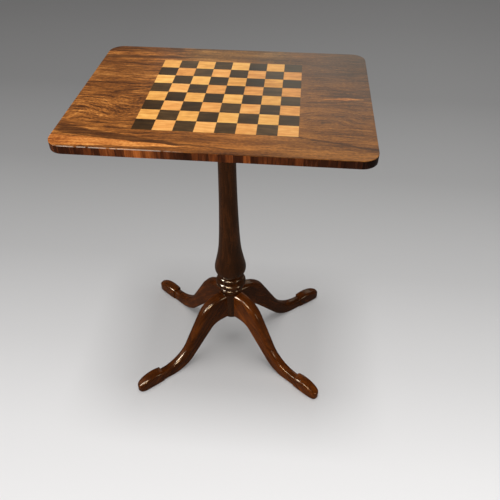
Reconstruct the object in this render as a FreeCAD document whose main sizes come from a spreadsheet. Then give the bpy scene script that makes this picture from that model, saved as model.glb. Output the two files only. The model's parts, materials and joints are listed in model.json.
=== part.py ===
import FreeCAD, Part
import math
import os
import types

import Sketcher

# A tilting chess table: an inlaid top on a turned pillar with four dovetailed legs.
# Millimetres. The origin is on the floor under the pillar, +X runs along the long side
# of the top, +Y to the back and +Z up. The top tilts about the pins at the front of the
# pivot block, and a sprung catch behind the block holds it down.

V = FreeCAD.Vector
Rotation = FreeCAD.Rotation
Placement = FreeCAD.Placement

SIZES = [
    # alias, value, what it measures
    ("TableHeight", "708", "floor to playing surface"),
    ("TopLength", "536", "top, along the long side"),
    ("TopWidth", "406", "top, front to back"),
    ("TopCorner", "28", "corner radius of the top"),
    ("CoreThick", "13.8", "solid ground of the top"),
    ("VeneerThick", "1.2", "rosewood sheet and inlaid squares"),
    ("BandThick", "1.6", "cross-grained edge banding"),
    ("ArrisRound", "0.6", "softened upper edge of the veneer"),
    ("SquareSide", "35", "one square of the board"),
    ("BlockWidth", "118", "pivot block between the bearers"),
    ("BlockLength", "118", "pivot block, front to back"),
    ("BlockThick", "30", "pivot block, top to bottom"),
    ("NoseRelief", "0.4", "rounded front edge of the block, short of the top"),
    ("BearerPlay", "0.5", "side gap from block to bearer"),
    ("BearerLength", "300", "bearer, front to back"),
    ("BearerWidth", "26", "bearer, across"),
    ("BearerDepth", "30", "bearer, below the top"),
    ("BearerTip", "12", "bearer depth at its tapered ends"),
    ("BearerTaper", "62", "length of each tapered end"),
    ("BearerScrewSpacing", "110", "between neighbouring screws of a bearer"),
    ("PinRadius", "5", "iron pivot pin"),
    ("PinPlay", "0.05", "running clearance of the bearer on its pin"),
    ("PinDepth", "24", "pin driven into the block"),
    ("PinSetback", "2", "outer end of the pin inside the bearer"),
    ("TenonRadius", "14", "round tenon of the pillar in the block"),
    ("TenonRelief", "0.5", "tenon end below the face of the block"),
    ("WedgeDepth", "24", "wedge driven into the tenon"),
    ("WedgeThick", "3.6", "wedge at its head"),
    ("WedgeTip", "1.2", "wedge at its point"),
    ("HubBottom", "112", "floor to the underside of the hub"),
    ("HubHeight", "79", "hub that takes the legs, top to bottom"),
    ("HubRadius", "27.5", "hub across, halved"),
    ("NeckRadius", "23", "necks between the turned beads"),
    ("CollarRise", "2", "neck between the hub and the collar bead"),
    ("CollarHalf", "6", "half the collar bead's width"),
    ("CollarRadius", "28.2", "collar bead over the hub"),
    ("RingRise", "6", "neck between the collar and the large ring"),
    ("RingHalf", "9", "half the large ring's width"),
    ("RingRadius", "36.5", "large ring of the pillar"),
    ("BeadRise", "3", "neck between the ring and the small bead"),
    ("BeadHalf", "5.5", "half the small bead's width"),
    ("BeadRadius", "31.5", "small bead under the bulb"),
    ("BulbRise", "4", "neck between the small bead and the bulb"),
    ("BulbFootRadius", "25.5", "underside of the bulb"),
    ("BulbPole", "8", "outline pole that draws the bulb out, above its underside"),
    ("BulbRadius", "41.2", "radius at that pole"),
    ("BellyPole", "40", "outline pole above the belly, above the bulb's underside"),
    ("BellyRadius", "34.1", "radius at that pole"),
    ("ShoulderPole", "56", "outline pole on the bulb's shoulder"),
    ("ShoulderRadius", "30.8", "radius at that pole"),
    ("FlarePole", "84", "outline pole where the shaft begins to swell"),
    ("FlareRadius", "25.4", "radius at that pole"),
    ("LowerPole", "153", "outline pole low on the shaft"),
    ("LowerRadius", "22.1", "radius at that pole"),
    ("MiddlePole", "232", "outline pole half way up the shaft"),
    ("MiddleRadius", "19.7", "radius at that pole"),
    ("UpperPole", "334", "outline pole high on the shaft"),
    ("UpperRadius", "18.4", "radius at that pole"),
    ("ShaftTopRadius", "18.6", "slender top of the shaft"),
    ("FrontLeftAngle", "42", "front left leg from the table's long axis, in degrees"),
    ("FrontRightAngle", "37", "front right leg from that axis"),
    ("BackRightAngle", "38", "back right leg from that axis"),
    ("BackLeftAngle", "36.5", "back left leg from that axis"),
    ("LegDrop", "3", "leg's upper edge below the top of the hub"),
    ("LegThick", "30", "leg across, at the hub"),
    ("KneeStart", "32", "reach where the upper edge begins to turn down"),
    ("KneeRadius", "72", "upper edge of the knee"),
    ("KneeUnderStart", "43", "reach where the underside begins to turn down"),
    ("KneeUnderRadius", "36.5", "underside of the knee"),
    ("AnkleUnderRadius", "78", "underside of the ankle"),
    ("AnkleRadius", "83", "upper edge of the ankle"),
    ("AnkleSetback", "8.5", "from the foot's lip back to the low point of the upper edge"),
    ("AnkleTop", "28", "height of that low point"),
    ("AnkleThick", "21", "leg across, inside the foot"),
    ("AnkleTail", "20", "leg carried on inside the foot, beyond the lip"),
    ("LipReach", "220", "reach of the raised lip of the foot"),
    ("SoleSetback", "29", "from the lip back to where the underside meets the floor"),
    ("LipTop", "33", "height of the lip"),
    ("LipWidth", "25.6", "foot across its lip"),
    ("HeelPole", "15", "outline pole that draws the foot's side, in front of the lip"),
    ("HeelWidth", "26.6", "between the poles of both sides there"),
    ("BallPole", "45.5", "outline pole at the ball of the foot, in front of the lip"),
    ("BallWidth", "26.8", "between the poles of both sides there"),
    ("ToePole", "66.5", "outline pole that rounds the toe, in front of the lip"),
    ("ToeWidth", "21.8", "between the poles of both sides there"),
    ("ToeTop", "19.5", "height of the toe"),
    ("DomeRadius", "73.5", "upper surface of the foot"),
    ("LegRound", "9", "rounding of the leg's upper edges"),
    ("FootRound", "7", "rounding of the foot's upper edges"),
    ("LegSoften", "3", "rounding of the lower edges"),
    ("TongueReach", "14", "inner end of the dovetail tongue"),
    ("TongueWide", "15", "tongue across its inner end"),
    ("TongueRoot", "9.6", "tongue across, where it grows out of the leg"),
    ("TongueSink", "1.5", "root of the tongue behind the leg's shoulder"),
    ("TongueDrop", "13", "upper end of the tongue below the top of the hub"),
    ("BraceThick", "2.2", "iron brace under the hub"),
    ("BraceRadius", "19", "middle of the brace"),
    ("BraceArmWidth", "13", "arm of the brace"),
    ("BraceArmReach", "35", "reach of the arm, to the middle of its round end"),
    ("BraceInnerScrew", "20.5", "reach of the screw in the tongue"),
    ("BraceOuterScrew", "34", "reach of the screw in the leg"),
    ("ScrewRadius", "2", "shank of the large wood screws"),
    ("ScrewHeadRadius", "4", "head of the large wood screws"),
    ("ScrewHeadDepth", "2.2", "countersunk head of the large wood screws"),
    ("BearerScrewLength", "27", "screw through the bearer into the top"),
    ("BearerScrewBite", "9", "part of that screw in the top"),
    ("CounterboreRadius", "4.6", "counterbore under a bearer screw"),
    ("BraceScrewLength", "18", "screw of the brace"),
    ("SmallScrewRadius", "1.3", "shank of the brass screws"),
    ("SmallHeadRadius", "2.7", "head of the brass screws"),
    ("SmallHeadDepth", "1.5", "countersunk head of the brass screws"),
    ("SmallScrewLength", "9", "length of the brass screws"),
    ("KeeperWidth", "28", "keeper plate across"),
    ("KeeperHeight", "20", "keeper plate, top to bottom"),
    ("KeeperThick", "1.6", "keeper plate let into the block"),
    ("KeeperScrewDrop", "15", "keeper screws below the face of the block"),
    ("KeeperScrewSpacing", "16", "between the keeper screws"),
    ("CatchGap", "1.5", "catch behind the block"),
    ("CatchLength", "48", "catch, front to back"),
    ("CatchPlateWidth", "36", "catch plate across"),
    ("CatchPlateThick", "1.8", "catch plate"),
    ("CatchWall", "1.6", "wall of the catch case"),
    ("CatchScrewInset", "5", "catch screws from the plate's ends"),
    ("CatchScrewSpacing", "27", "between the catch screws, across"),
    ("BoltWidth", "14", "catch bolt across"),
    ("BoltThick", "6", "catch bolt, top to bottom"),
    ("BoltPlay", "0.4", "catch bolt in its case"),
    ("BoltLength", "36", "flat part of the catch bolt"),
    ("BoltThrow", "9", "bolt inside the block when thrown"),
    ("BoltTravel", "10", "bolt drawn back to free the top"),
    ("BoltBevel", "4.5", "bevel under the bolt's nose"),
    ("BoltRodRadius", "1.7", "tail rod of the bolt"),
    ("BoltRodTail", "2", "tail rod beyond the case"),
    ("SpringRadius", "2.6", "coil spring, to the middle of its wire"),
    ("SpringWire", "0.45", "radius of the spring's wire"),
    ("SpringPitch", "2.9", "coil spring, one turn"),
    ("KnobStemReach", "14", "knob's stem in front of the bolt's shoulder"),
    ("KnobStemRadius", "2", "knob's stem"),
    ("KnobRadius", "6.5", "knob"),
    ("KnobHeight", "7", "knob, top to bottom"),
    ("KnobDrop", "5", "stem between the bolt and the knob"),
]

BOARD_SQUARES = 8
LEG_NAMES = ["leg_front_left", "leg_front_right", "leg_back_right", "leg_back_left"]
SCREW_TIP_SHARE = 0.2       # blunt end of a screw, as a share of its shank
SMALL = 0.02                # a length or a slope this near to nought counts as nought
SKIN_SLOPE = 0.1            # the least rise of a normal on a leg's sawn outline
LIP_FACING = -0.7           # upright faces that look inward past this are the foot's lip


class Size:
    """A size with its number and the spreadsheet expression that it comes from."""

    def __init__(self, text, number):
        self.text = text
        self.number = float(number)

    def __str__(self):
        return self.text

    def joined(self, sign, other, number):
        return Size(f"({self} {sign} {other})", number)

    def __add__(self, other):
        return self.joined("+", other, self.number + number_of(other))

    def __sub__(self, other):
        return self.joined("-", other, self.number - number_of(other))

    def __mul__(self, factor):
        return self.joined("*", factor, self.number * number_of(factor))

    def __truediv__(self, divisor):
        return self.joined("/", divisor, self.number / number_of(divisor))

    def __neg__(self):
        return Size(f"(0 - {self})", -self.number)


def number_of(size):
    return size.number if isinstance(size, Size) else float(size)


ZERO = Size("0", 0)
OVERCUT = Size("3", 3)      # how far a cutter runs past the piece that it cuts


def make_sheet():
    """Write the driving dimensions and hand them back as sizes."""
    sheet = doc.addObject("Spreadsheet::Sheet", "Sizes")
    for row, (alias, value, meaning) in enumerate(SIZES, start=1):
        sheet.set(f"A{row}", meaning)
        sheet.set(f"B{row}", value)
        sheet.setAlias(f"B{row}", alias)
    doc.recompute()
    sizes = {alias: Size(f"Sizes.{alias}", sheet.get(alias)) for alias, _, _ in SIZES}
    return types.SimpleNamespace(**sizes)


# Part primitives -------------------------------------------------------------------


def bind(obj, **sizes):
    """Bind properties to sizes; Placement_Base_x stands for Placement.Base.x."""
    for name, size in sizes.items():
        obj.setExpression(name.replace("_", "."), str(size))
    return obj


def place(obj, x=ZERO, y=ZERO, z=ZERO, rotation=None):
    if rotation is not None:
        obj.Placement = Placement(V(), rotation)
    return bind(obj, Placement_Base_x=x, Placement_Base_y=y, Placement_Base_z=z)


def box(name, x, y, z):
    """A box between a low and a high size on each axis."""
    obj = doc.addObject("Part::Box", name)
    bind(obj, Length=x[1] - x[0], Width=y[1] - y[0], Height=z[1] - z[0])
    return place(obj, x[0], y[0], z[0])


def cylinder(name, radius, length, x, y, z, rotation=None):
    obj = doc.addObject("Part::Cylinder", name)
    bind(obj, Radius=radius, Height=length)
    return place(obj, x, y, z, rotation)


def group(name, members):
    obj = doc.addObject("Part::Compound", name)
    obj.Links = members
    return obj


def cut(name, base, *tools):
    obj = doc.addObject("Part::Cut", name)
    obj.Base = base
    obj.Tool = tools[0] if len(tools) == 1 else group(f"{name}_tools", list(tools))
    return obj


def screw(name, radius, head_radius, head_depth, length, spot, rotation=None):
    """A countersunk screw whose head lies at the spot; it is driven along local +Z."""
    head = doc.addObject("Part::Cone", f"{name}_head")
    bind(head, Radius1=head_radius, Radius2=radius, Height=head_depth)
    shank = cylinder(f"{name}_shank", radius, length - radius, ZERO, ZERO, ZERO)
    point = doc.addObject("Part::Cone", f"{name}_point")
    bind(point, Radius1=radius, Radius2=radius * SCREW_TIP_SHARE, Height=radius)
    place(point, z=length - radius)
    whole = doc.addObject("Part::MultiFuse", name)
    whole.Shapes = [head, shank, point]
    return place(whole, *spot, rotation)


# Sketches and features ---------------------------------------------------------------


def new_body(name):
    return doc.addObject("PartDesign::Body", name)


def new_sketch(body, name, role, offset=None):
    sketch = body.newObject("Sketcher::SketchObject", name)
    plane = next(item for item in body.Origin.OriginFeatures if item.Role == role)
    sketch.AttachmentSupport = [(plane, "")]
    sketch.MapMode = "FlatFace"
    if offset is not None:
        sketch.setExpression("AttachmentOffset.Base.z", str(offset))
    return sketch


def limit(sketch, *constraint, size):
    """Add a dimension to a sketch and bind it to its size."""
    index = sketch.addConstraint(Sketcher.Constraint(*constraint, size.number))
    sketch.setExpression(f"Constraints[{index}]", str(size))


def pin(sketch, geometry, point, x, y):
    """Hold a point of the sketch at a place measured from the sketch's origin."""
    limit(sketch, "DistanceX", -1, 1, geometry, point, size=x)
    limit(sketch, "DistanceY", -1, 1, geometry, point, size=y)


def circle(sketch, x, y, radius):
    index = sketch.addGeometry(Part.Circle(V(x.number, y.number, 0), V(0, 0, 1), radius.number))
    pin(sketch, index, 3, x, y)
    limit(sketch, "Radius", index, size=radius)


class Outline:
    """A closed outline drawn from point to point, each point held by its sizes."""

    def __init__(self, sketch, x, y):
        self.sketch = sketch
        self.start = (x, y)
        self.here = (x, y)
        self.pieces = []

    def add(self, curve, first, last, x, y, joint="Coincident"):
        """Keep a piece that runs from its point number first to its point number last."""
        index = self.sketch.addGeometry(curve)
        if self.pieces:
            link = Sketcher.Constraint(joint, *self.pieces[-1][1], index, first)
            self.sketch.addConstraint(link)
        self.pieces.append(((index, first), (index, last)))
        self.here = (x, y)
        return index

    def line_to(self, x, y):
        start = point_of(self.here)
        index = self.add(Part.LineSegment(start, point_of((x, y))), 1, 2, x, y)
        self.hold_ends(index, 1, x, y)
        return self

    def hold_ends(self, index, first, x, y):
        """Pin the outline's first point and each later one, or join the last to the first."""
        if len(self.pieces) == 1:
            pin(self.sketch, index, first, *self.start)
        if self.is_closing(x, y):
            joint = Sketcher.Constraint("Coincident", *self.pieces[-1][1], *self.pieces[0][0])
            self.sketch.addConstraint(joint)
        else:
            pin(self.sketch, *self.pieces[-1][1], x, y)

    def is_closing(self, x, y):
        return x is self.start[0] and y is self.start[1]

    def arc_to(self, x, y, radius, turn):
        """An arc to a point; turn is 1 to the left (anticlockwise) and -1 to the right."""
        start, end = point_of(self.here), point_of((x, y))
        half = (end - start) * 0.5
        rise = math.sqrt(max(radius.number ** 2 - half.Length ** 2, 0))
        side = V(-half.y, half.x, 0).normalize() * turn
        centre = start + half + side * rise
        arc, first, last = arc_between(centre, start, end, turn)
        index = self.add(arc, first, last, x, y)
        self.hold_ends(index, first, x, y)
        limit(self.sketch, "Radius", index, size=radius)
        return self

    def ogee_to(self, x, y, first_radius, last_radius, side):
        """Two opposite arcs, level at both ends, with their common tangent between them.

        side is 1 where the first arc's centre lies above its start, and -1 below it.
        """
        start, end = point_of(self.here), point_of((x, y))
        centre_a = start + V(0, side * first_radius.number, 0)
        centre_b = end - V(0, side * last_radius.number, 0)
        touch_a, touch_b = inner_tangent(centre_a, first_radius.number,
                                         centre_b, last_radius.number, start)
        way = side if end.x > start.x else -side
        arc_a, first, last = arc_between(centre_a, start, touch_a, way)
        index_a = self.add(arc_a, first, last, None, None)
        self.add(Part.LineSegment(touch_a, touch_b), 1, 2, None, None, "Tangent")
        arc_b, first_b, last_b = arc_between(centre_b, touch_b, end, -way)
        index_b = self.add(arc_b, first_b, last_b, x, y, "Tangent")
        pin(self.sketch, index_b, last_b, x, y)
        limit(self.sketch, "Radius", index_a, size=first_radius)
        limit(self.sketch, "Radius", index_b, size=last_radius)
        for index, point in ((index_a, first), (index_b, last_b)):
            level = Sketcher.Constraint("Vertical", index, point, index, 3)
            self.sketch.addConstraint(level)
        return self

    def spline_to(self, poles):
        """A smooth curve drawn by poles; it starts at the current point."""
        points = [self.here] + poles
        curve = Part.BSplineCurve()
        curve.buildFromPoles([point_of(item) for item in points], False, 3)
        index = self.add(curve, 1, 2, *poles[-1])
        for number, (x, y) in enumerate(points):
            mark = Part.Circle(point_of((x, y)), V(0, 0, 1), 1.0)
            pole = self.sketch.addGeometry(mark, True)
            align = "InternalAlignment:Sketcher::BSplineControlPoint"
            self.sketch.addConstraint(Sketcher.Constraint(align, pole, 3, index, number))
            self.sketch.addConstraint(Sketcher.Constraint("Weight", pole, 1.0))
            if 0 < number < len(poles):
                pin(self.sketch, pole, 3, x, y)
        self.hold_ends(index, 1, *poles[-1])
        return self

    def close(self):
        return self.line_to(*self.start)


def point_of(pair):
    return V(number_of(pair[0]), number_of(pair[1]), 0)


def arc_between(centre, start, end, turn):
    """An arc about a centre, with the numbers of its first and last points on this way."""
    radius = (start - centre).Length
    angles = [math.atan2(p.y - centre.y, p.x - centre.x) for p in (start, end)]
    full = Part.Circle(centre, V(0, 0, 1), radius)
    if turn > 0:
        return Part.ArcOfCircle(full, angles[0], angles[1]), 1, 2
    return Part.ArcOfCircle(full, angles[1], angles[0]), 2, 1


def inner_tangent(centre_a, radius_a, centre_b, radius_b, start):
    """The two touching points of the crossing tangent that is nearer to the start."""
    span = centre_b - centre_a
    heading = math.atan2(span.y, span.x)
    spread = math.acos((radius_a + radius_b) / span.Length)
    found = []
    for angle in (heading + spread, heading - spread):
        normal = V(math.cos(angle), math.sin(angle), 0)
        found.append((centre_a + normal * radius_a, centre_b - normal * radius_b))
    return min(found, key=lambda pair: (pair[0] - start).Length)


def rectangle(sketch, x, y):
    """A rectangle between a low and a high size on each axis."""
    outline = Outline(sketch, x[0], y[0])
    outline.line_to(x[1], y[0]).line_to(x[1], y[1]).line_to(x[0], y[1]).close()


def rounded_rectangle(sketch, length, width, corner):
    """A rectangle about the origin with rounded corners."""
    right, back = length / 2, width / 2
    inner_x, inner_y = right - corner, back - corner
    outline = Outline(sketch, -inner_x, -back)
    outline.line_to(inner_x, -back).arc_to(right, -inner_y, corner, 1)
    outline.line_to(right, inner_y).arc_to(inner_x, back, corner, 1)
    outline.line_to(-inner_x, back).arc_to(-right, inner_y, corner, 1)
    outline.line_to(-right, -inner_y).arc_to(*outline.start, corner, 1)


def pad(body, sketch, length, midplane=False):
    feature = body.newObject("PartDesign::Pad", f"{sketch.Name}_pad")
    feature.Profile = sketch
    feature.Midplane = midplane
    feature.setExpression("Length", str(length))
    return feature


def pocket(body, sketch, length=None, midplane=False, reverse=False):
    """Cut a sketch away, to a depth or through everything."""
    feature = body.newObject("PartDesign::Pocket", f"{sketch.Name}_pocket")
    feature.Profile = sketch
    feature.Midplane = midplane
    feature.Reversed = reverse
    if length is None:
        feature.Type = "ThroughAll"
    else:
        feature.setExpression("Length", str(length))
    return feature


def fillet(body, name, radius, wanted):
    """Round the wanted edges of the body's last feature."""
    doc.recompute()
    base = body.Tip
    shape = base.Shape
    edges = [f"Edge{i}" for i, edge in enumerate(shape.Edges, start=1) if wanted(shape, edge)]
    feature = body.newObject("PartDesign::Fillet", name)
    feature.Base = (base, edges)
    feature.setExpression("Radius", str(radius))
    return feature


def face_normals(shape, edge):
    """The outward normals of the faces on both sides of an edge, at its middle."""
    middle = edge.valueAt((edge.FirstParameter + edge.LastParameter) / 2)
    normals = []
    for face in shape.ancestorsOfType(edge, Part.Face):
        u, v = face.Surface.parameter(middle)
        normals.append(face.normalAt(u, v))
    return middle, normals


# The top -------------------------------------------------------------------------------


def make_top():
    """The board, its edge banding, the veneer with a square window, and the inlay."""
    blank = new_body("core_blank")
    sketch = new_sketch(blank, "core_outline", "XY_Plane", UNDERSIDE)
    rounded_rectangle(sketch, s.TopLength - s.BandThick * 2, s.TopWidth - s.BandThick * 2,
                      s.TopCorner - s.BandThick)
    pad(blank, sketch, s.CoreThick)

    banding = new_body("edge_banding")
    sketch = new_sketch(banding, "banding_outline", "XY_Plane", UNDERSIDE)
    rounded_rectangle(sketch, s.TopLength, s.TopWidth, s.TopCorner)
    rounded_rectangle(sketch, s.TopLength - s.BandThick * 2, s.TopWidth - s.BandThick * 2,
                      s.TopCorner - s.BandThick)
    pad(banding, sketch, s.CoreThick)

    veneer = new_body("top_veneer")
    sketch = new_sketch(veneer, "veneer_outline", "XY_Plane", UNDERSIDE + s.CoreThick)
    rounded_rectangle(sketch, s.TopLength, s.TopWidth, s.TopCorner)
    half = s.SquareSide * (BOARD_SQUARES / 2)
    rectangle(sketch, (-half, half), (-half, half))
    pad(veneer, sketch, s.VeneerThick)
    fillet(veneer, "veneer_arris", s.ArrisRound, is_outer_arris)
    return blank, [banding, veneer] + make_squares(half)


def is_outer_arris(shape, edge):
    """An edge all at the top, outside the board's window."""
    middle, _ = face_normals(shape, edge)
    level = edge.BoundBox.ZLength < SMALL and middle.z > shape.BoundBox.ZMax - SMALL
    window = s.SquareSide.number * BOARD_SQUARES / 2 + SMALL
    return level and (abs(middle.x) > window or abs(middle.y) > window)


def make_squares(half):
    """Sixty-four squares; the near left one, on the players' left, is dark."""
    light, dark = [], []
    rise = (UNDERSIDE + s.CoreThick, s.TableHeight)
    for row in range(BOARD_SQUARES):
        for column in range(BOARD_SQUARES):
            x = s.SquareSide * column - half
            y = s.SquareSide * row - half
            square = box(f"square_{column}_{row}", (x, x + s.SquareSide),
                         (y, y + s.SquareSide), rise)
            (light if (row + column) % 2 else dark).append(square)
    return [group("light_squares", light), group("dark_squares", dark)]


# Pivot block, bearers and their pins ------------------------------------------------------


def make_block(tools):
    """The block between the bearers.

    Its upper front edge is rounded about the pivot axis, so that the top clears it, and
    its square lower corner stops the top when it stands upright.
    """
    blank = new_body("block_blank")
    sketch = new_sketch(blank, "block_outline", "YZ_Plane")
    nose = s.BlockThick / 2 - s.NoseRelief
    rear = s.BlockLength / 2
    outline = Outline(sketch, PIVOT_Y, UNDERSIDE)
    outline.line_to(PIVOT_Y, PIVOT_Z + nose).arc_to(PIVOT_Y - nose, PIVOT_Z, nose, 1)
    outline.line_to(PIVOT_Y - nose, SHOULDER).line_to(rear, SHOULDER)
    outline.line_to(rear, UNDERSIDE).close()
    pad(blank, sketch, s.BlockWidth, midplane=True)
    hole = cylinder("tenon_hole", s.TenonRadius, s.BlockThick, ZERO, ZERO, SHOULDER)
    return cut("pivot_block", blank, hole, *tools)


def make_pin(name, side):
    """An iron pin driven into the block; the bearer turns on it."""
    length = s.PinDepth + s.BearerPlay + s.BearerWidth - s.PinSetback
    inner = s.BlockWidth / 2 - s.PinDepth
    start = inner if side > 0 else -(inner + length)
    return cylinder(name, s.PinRadius, length, start, PIVOT_Y, PIVOT_Z, ALONG_X)


def make_bearer(name, side, screws):
    """A tapered batten under the top, bored for its pin and counterbored for screws."""
    inner = s.BlockWidth / 2 + s.BearerPlay
    middle = (inner + s.BearerWidth / 2) * side
    half = s.BearerLength / 2
    flat = half - s.BearerTaper
    bottom, tip = UNDERSIDE - s.BearerDepth, UNDERSIDE - s.BearerTip
    blank = new_body(f"{name}_blank")
    sketch = new_sketch(blank, f"{name}_outline", "YZ_Plane", middle)
    outline = Outline(sketch, -half, UNDERSIDE)
    outline.line_to(-half, tip).line_to(-flat, bottom).line_to(flat, bottom)
    outline.line_to(half, tip).line_to(half, UNDERSIDE).close()
    circle(sketch, PIVOT_Y, PIVOT_Z, s.PinRadius + s.PinPlay)
    pad(blank, sketch, s.BearerWidth, midplane=True)
    bore = s.BearerDepth + s.BearerScrewBite - s.BearerScrewLength
    bores = [cylinder(f"{name}_counterbore_{i}", s.CounterboreRadius, bore,
                      middle, s.BearerScrewSpacing * i, bottom) for i in (-1, 0, 1)]
    return cut(name, blank, screws, *bores)


def make_bearer_screws():
    """Three countersunk screws up through each bearer into the top."""
    reach = s.BlockWidth / 2 + s.BearerPlay + s.BearerWidth / 2
    head = UNDERSIDE + s.BearerScrewBite - s.BearerScrewLength
    screws = []
    for side in (-1, 1):
        for step in (-1, 0, 1):
            spot = (reach * side, s.BearerScrewSpacing * step, head)
            screws.append(screw(f"bearer_screw_{side + 1}_{step + 1}", s.ScrewRadius,
                                s.ScrewHeadRadius, s.ScrewHeadDepth,
                                s.BearerScrewLength, spot))
    return group("bearer_screws", screws)


# The pillar -------------------------------------------------------------------------------


def make_pillar(tongues, brace_screws):
    """The turned pillar: tenon, shaft, bulb, bead, ring, collar and the hub for the legs."""
    turned = new_body("pillar_turning")
    sketch = new_sketch(turned, "pillar_profile", "XZ_Plane")
    tenon_end = UNDERSIDE - s.TenonRelief
    outline = Outline(sketch, ZERO, s.HubBottom)
    outline.line_to(s.HubRadius, s.HubBottom).line_to(s.HubRadius, HUB_TOP)
    outline.line_to(s.NeckRadius, HUB_TOP)
    collar = add_bead(outline, HUB_TOP + s.CollarRise, s.CollarRadius, s.CollarHalf)
    ring = add_bead(outline, collar + s.RingRise, s.RingRadius, s.RingHalf)
    bead = add_bead(outline, ring + s.BeadRise, s.BeadRadius, s.BeadHalf)
    foot = bead + s.BulbRise
    outline.line_to(s.NeckRadius, foot).line_to(s.BulbFootRadius, foot)
    outline.spline_to([(s.BulbRadius, foot + s.BulbPole), (s.BellyRadius, foot + s.BellyPole),
                       (s.ShoulderRadius, foot + s.ShoulderPole),
                       (s.FlareRadius, foot + s.FlarePole), (s.LowerRadius, foot + s.LowerPole),
                       (s.MiddleRadius, foot + s.MiddlePole),
                       (s.UpperRadius, foot + s.UpperPole), (s.ShaftTopRadius, SHOULDER)])
    outline.line_to(s.TenonRadius, SHOULDER).line_to(s.TenonRadius, tenon_end)
    outline.line_to(ZERO, tenon_end).close()
    turning = turned.newObject("PartDesign::Revolution", "pillar_revolution")
    turning.Profile = sketch
    turning.ReferenceAxis = (sketch, ["V_Axis"])
    turning.Angle = 360

    kerf = new_sketch(turned, "wedge_kerf", "XZ_Plane")
    wedge_outline(kerf, tenon_end)
    pocket(turned, kerf, midplane=True)
    return cut("pillar", turned, group("tongue_sockets", tongues), brace_screws)


def add_bead(outline, bottom, radius, half):
    """Add a half-round bead that stands out from the neck; the answer is its upper edge."""
    top = bottom + half * 2
    outline.line_to(s.NeckRadius, bottom).line_to(radius - half, bottom)
    outline.arc_to(radius, bottom + half, half, 1).arc_to(radius - half, top, half, 1)
    outline.line_to(s.NeckRadius, top)
    return top


def wedge_outline(sketch, tenon_end):
    head, tip = s.WedgeThick / 2, s.WedgeTip / 2
    bottom = tenon_end - s.WedgeDepth
    outline = Outline(sketch, -head, tenon_end)
    outline.line_to(-tip, bottom).line_to(tip, bottom).line_to(head, tenon_end).close()


def make_wedge():
    """A hardwood wedge that spreads the tenon in the block."""
    wedge = new_body("tenon_wedge")
    sketch = new_sketch(wedge, "wedge_profile", "XZ_Plane")
    wedge_outline(sketch, UNDERSIDE - s.TenonRelief)
    pad(wedge, sketch, s.TenonRadius * 2 - s.TenonRelief, midplane=True)
    return wedge


# Legs and brace ----------------------------------------------------------------------------


def leg_angles():
    """Each leg's name and its direction, roughly towards a corner of the top."""
    straight = Size("180", 180)
    directions = [straight + s.FrontLeftAngle, -s.FrontRightAngle, s.BackRightAngle,
                  straight - s.BackLeftAngle]
    return list(zip(LEG_NAMES, directions))


def face_outward(obj, angle):
    """Turn an object about the pillar's axis by a bound angle."""
    obj.Placement = Placement(V(), Rotation(V(0, 0, 1), angle.number))
    obj.setExpression("Placement.Rotation.Angle", str(angle))
    return obj


def make_leg(name, angle, screws):
    """A cabriole leg on a stepped pad foot, with a dovetail tongue for the hub."""
    carving = face_outward(carve_leg(f"{name}_carving"), angle)
    foot = face_outward(carve_foot(f"{name}_foot"), angle)
    whole = doc.addObject("Part::MultiFuse", f"{name}_whole")
    whole.Shapes = [carving, foot]
    return cut(name, whole, screws)


def carve_leg(name):
    """The leg from its tongue to its ankle: sawn from the side, tapered, then rounded."""
    leg = new_body(name)
    inside, end = (s.TongueReach + s.HubRadius) / 2, s.LipReach + s.AnkleTail
    side = new_sketch(leg, f"{name}_side", "XZ_Plane")
    outline = Outline(side, inside, LEG_TOP)
    outline.line_to(s.KneeStart, LEG_TOP)
    outline.ogee_to(s.LipReach - s.AnkleSetback, s.AnkleTop, s.KneeRadius, s.AnkleRadius, -1)
    outline.line_to(end, s.AnkleTop).line_to(end, ZERO)
    outline.line_to(s.LipReach - s.SoleSetback, ZERO)
    outline.ogee_to(s.KneeUnderStart, s.HubBottom, s.AnkleUnderRadius, s.KneeUnderRadius, 1)
    outline.line_to(inside, s.HubBottom).close()
    pad(leg, side, s.LegThick * 2, midplane=True)

    plan = new_sketch(leg, f"{name}_plan", "XY_Plane")
    thick, thin = s.LegThick / 2, s.AnkleThick / 2
    rectangle(plan, (ZERO, end + OVERCUT * 2), (-s.LegThick * 2, s.LegThick * 2))
    near, far = inside - OVERCUT, end + OVERCUT
    outline = Outline(plan, near, -thick)
    outline.line_to(far, -thin).line_to(far, thin).line_to(near, thick).close()
    pocket(leg, plan, midplane=True)

    hub = new_sketch(leg, f"{name}_shoulder", "XY_Plane")
    circle(hub, ZERO, ZERO, s.HubRadius)
    pocket(leg, hub, midplane=True)

    tongue = new_sketch(leg, f"{name}_tongue", "XY_Plane", s.HubBottom)
    wide, root = s.TongueWide / 2, s.TongueRoot / 2
    outline = Outline(tongue, s.TongueReach, -wide)
    outline.line_to(TONGUE_ROOT_REACH, -root).line_to(TONGUE_ROOT_REACH, root)
    outline.line_to(s.TongueReach, wide).close()
    pad(leg, tongue, TONGUE_TOP - s.HubBottom)
    fillet(leg, f"{name}_upper_round", s.LegRound, is_upper_edge)
    fillet(leg, f"{name}_lower_round", s.LegSoften, is_lower_edge)
    return leg


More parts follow.
